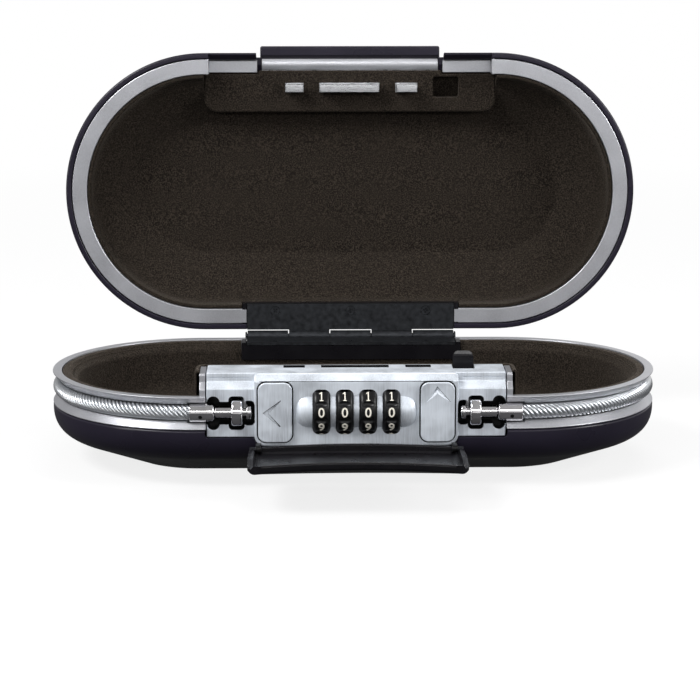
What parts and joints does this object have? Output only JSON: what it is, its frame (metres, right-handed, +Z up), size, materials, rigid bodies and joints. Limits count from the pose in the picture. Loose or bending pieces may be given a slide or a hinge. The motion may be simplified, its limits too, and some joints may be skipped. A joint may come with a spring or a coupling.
{
  "type": "portable car safe",
  "caption": "Clam-shell portable safe with a dial combination lock, sliding buttons, a wire rope in a rim groove, a fold-down lock cover and a lined hinged lid.",
  "frame": {"origin": "middle of the flat bottom, on the surface that the safe rests on", "axes": "+Z up, +X to the right of someone who faces the lock, the lock faces -Y"},
  "size_m": [0.24, 0.1854, 0.1583],
  "materials": {
    "shell": "satin",
    "silver_trim": "satin",
    "liner": "matte",
    "zinc": "satin",
    "steel": "satin",
    "chrome": "polished",
    "black_plastic": "satin",
    "wire_rope": "satin"
  },
  "bodies": {
    "base": {"back_plate_screw_1": "steel", "back_plate_screw_2": "steel", "back_plate_screw_3": "steel", "back_plate_screw_4": "steel", "base_frame": "silver_trim", "base_liner": "liner", "base_shell": "shell", "cable": "wire_rope", "cable_anchor_clip": "steel", "cable_button_spring": "steel", "cable_ferrule_left": "steel", "cable_ferrule_right": "steel", "cable_pin_left": "chrome", "cable_pin_right": "chrome", "cover_pin_left": "steel", "cover_pin_right": "steel", "detent_spring": "steel", "dial_shaft": "steel", "hinge_leaf_base": "steel", "hinge_pin": "steel", "hinge_screw_base_1": "steel", "hinge_screw_base_2": "steel", "hinge_screw_base_3": "steel", "lock_back_plate": "steel", "lock_housing": "zinc", "lock_side_screw_left": "steel", "lock_side_screw_right": "steel", "open_button_spring": "steel"},
    "lid": {"hinge_leaf_lid": "steel", "hinge_screw_lid_1": "steel", "hinge_screw_lid_2": "steel", "hinge_screw_lid_3": "steel", "lid_frame": "silver_trim", "lid_liner": "liner", "lid_shell": "shell", "striker_plate": "steel", "striker_screw_1": "steel", "striker_screw_2": "steel", "striker_screw_3": "steel", "striker_screw_4": "steel"},
    "cover": {"cover": "black_plastic"},
    "open_button": {"open_button": "zinc"},
    "latch_bar": {"latch_bar": "steel"},
    "cable_button": {"cable_button": "zinc"},
    "cable_bolt": {"cable_bolt": "steel"},
    "reset_lever": {"reset_lever": "black_plastic"},
    "dial_1": {"dial_1": "black_plastic", "dial_sleeve_1": "steel"},
    "dial_2": {"dial_2": "black_plastic", "dial_sleeve_2": "steel"},
    "dial_3": {"dial_3": "black_plastic", "dial_sleeve_3": "steel"},
    "dial_4": {"dial_4": "black_plastic", "dial_sleeve_4": "steel"}
  },
  "joints": [
    {"name": "lid_hinge", "type": "hinge", "parent": "base", "child": "lid", "pos_m": [0, 0.0612, 0.0365], "axis": [1, 0, 0], "range_deg": [0, 92]},
    {"name": "cover_hinge", "type": "hinge", "parent": "base", "child": "cover", "pos_m": [0, -0.062, 0.017], "axis": [1, 0, 0], "range_deg": [-90, 0]},
    {"name": "open_button_slide", "type": "slide", "parent": "base", "child": "open_button", "axis": [0, 0, 1], "range_m": [0, 0.0035], "stiffness_N_per_m": 300, "springref_m": -0.002, "deforming": ["open_button_spring"]},
    {"name": "latch_bar_slide", "type": "slide", "parent": "base", "child": "latch_bar", "axis": [-1, 0, 0], "range_m": [0, 0.0035]},
    {"name": "cable_button_slide", "type": "slide", "parent": "base", "child": "cable_button", "axis": [-1, 0, 0], "range_m": [0, 0.0035], "stiffness_N_per_m": 300, "springref_m": -0.002, "deforming": ["cable_button_spring"]},
    {"name": "cable_bolt_slide", "type": "slide", "parent": "base", "child": "cable_bolt", "axis": [0, 0, 1], "range_m": [0, 0.0035]},
    {"name": "reset_lever_slide", "type": "slide", "parent": "base", "child": "reset_lever", "axis": [0, -1, 0], "range_m": [0, 0.0025]},
    {"name": "dial_1_spin", "type": "hinge", "parent": "base", "child": "dial_1", "pos_m": [-0.0132, -0.05285, 0.0306], "axis": [1, 0, 0], "continuous": true},
    {"name": "dial_2_spin", "type": "hinge", "parent": "base", "child": "dial_2", "pos_m": [-0.0044, -0.05285, 0.0306], "axis": [1, 0, 0], "continuous": true},
    {"name": "dial_3_spin", "type": "hinge", "parent": "base", "child": "dial_3", "pos_m": [0.0044, -0.05285, 0.0306], "axis": [1, 0, 0], "continuous": true},
    {"name": "dial_4_spin", "type": "hinge", "parent": "base", "child": "dial_4", "pos_m": [0.0132, -0.05285, 0.0306], "axis": [1, 0, 0], "continuous": true}
  ],
  "couplings": [
    {"joint": "latch_bar_slide", "follows": "open_button_slide", "ratio": 1},
    {"joint": "cable_bolt_slide", "follows": "cable_button_slide", "ratio": 1}
  ]
}
